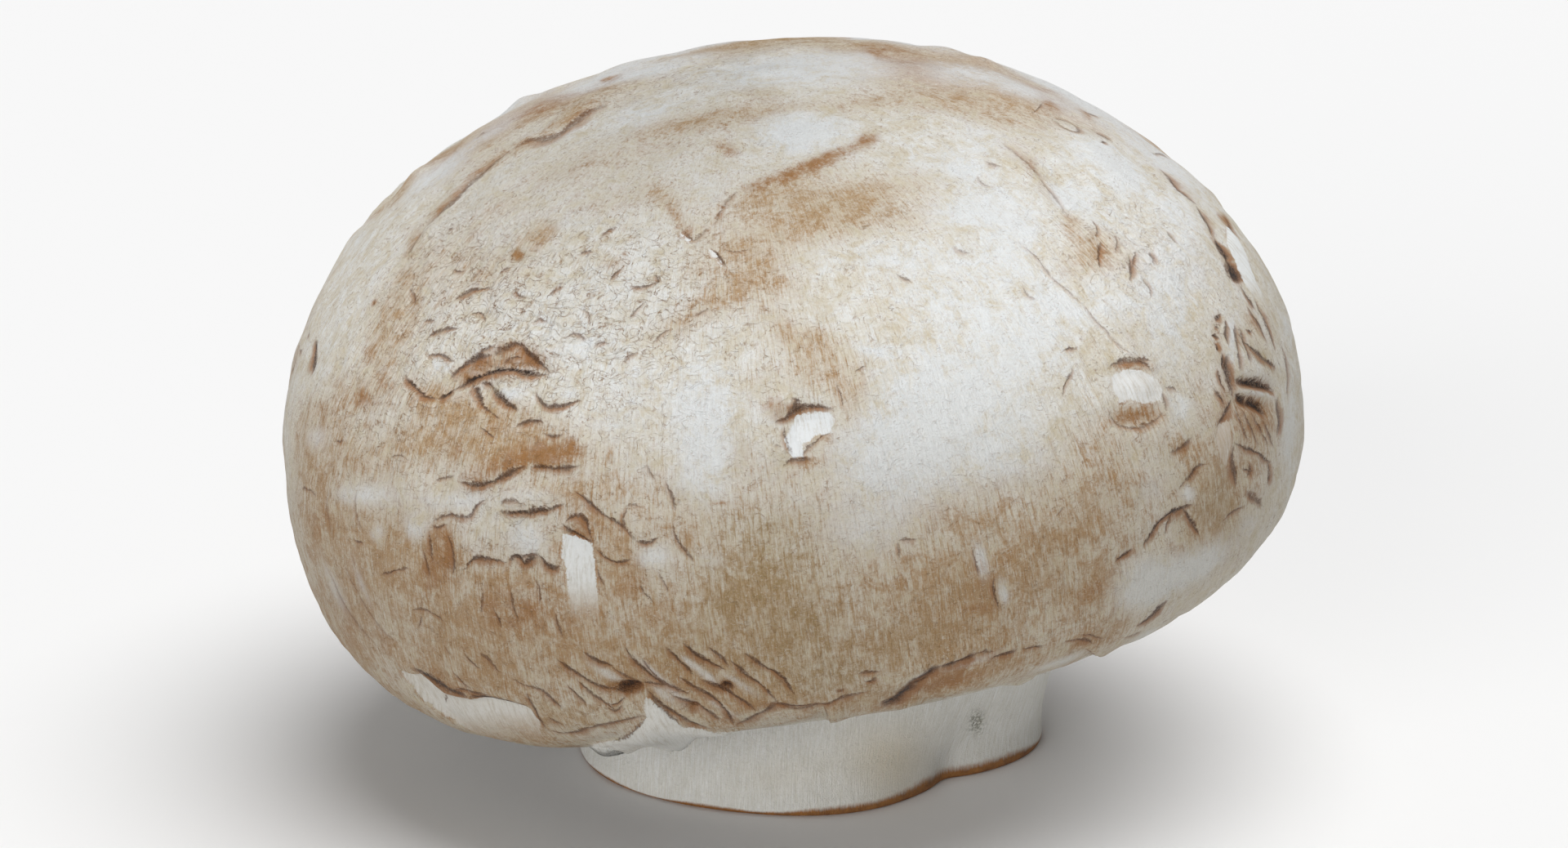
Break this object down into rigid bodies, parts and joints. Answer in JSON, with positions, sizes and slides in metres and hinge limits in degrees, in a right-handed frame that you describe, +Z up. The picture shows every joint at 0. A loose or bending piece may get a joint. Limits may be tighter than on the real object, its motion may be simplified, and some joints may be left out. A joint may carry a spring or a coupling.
{
  "type": "button mushroom",
  "caption": "Closed-cup button mushroom with a domed, scarred pale cap, an inrolled margin with torn veil, hidden gills and a short cut stem.",
  "frame": {"origin": "centre of the cut face at the foot of the stem", "axes": "+Z up along the stem from the cut face, -Y towards the side that the picture shows, +X to the picture's right; the cap leans a little to -X and -Y"},
  "size_m": [0.0557, 0.0551, 0.0392],
  "materials": {
    "flesh": "matt fibrous skin, off-white with tan and brown stains and pale torn flesh",
    "gill": "matt thin blades, pinkish brown"
  },
  "bodies": {
    "root": {"mushroom": "flesh", "gills": "gill"}
  },
  "joints": []
}
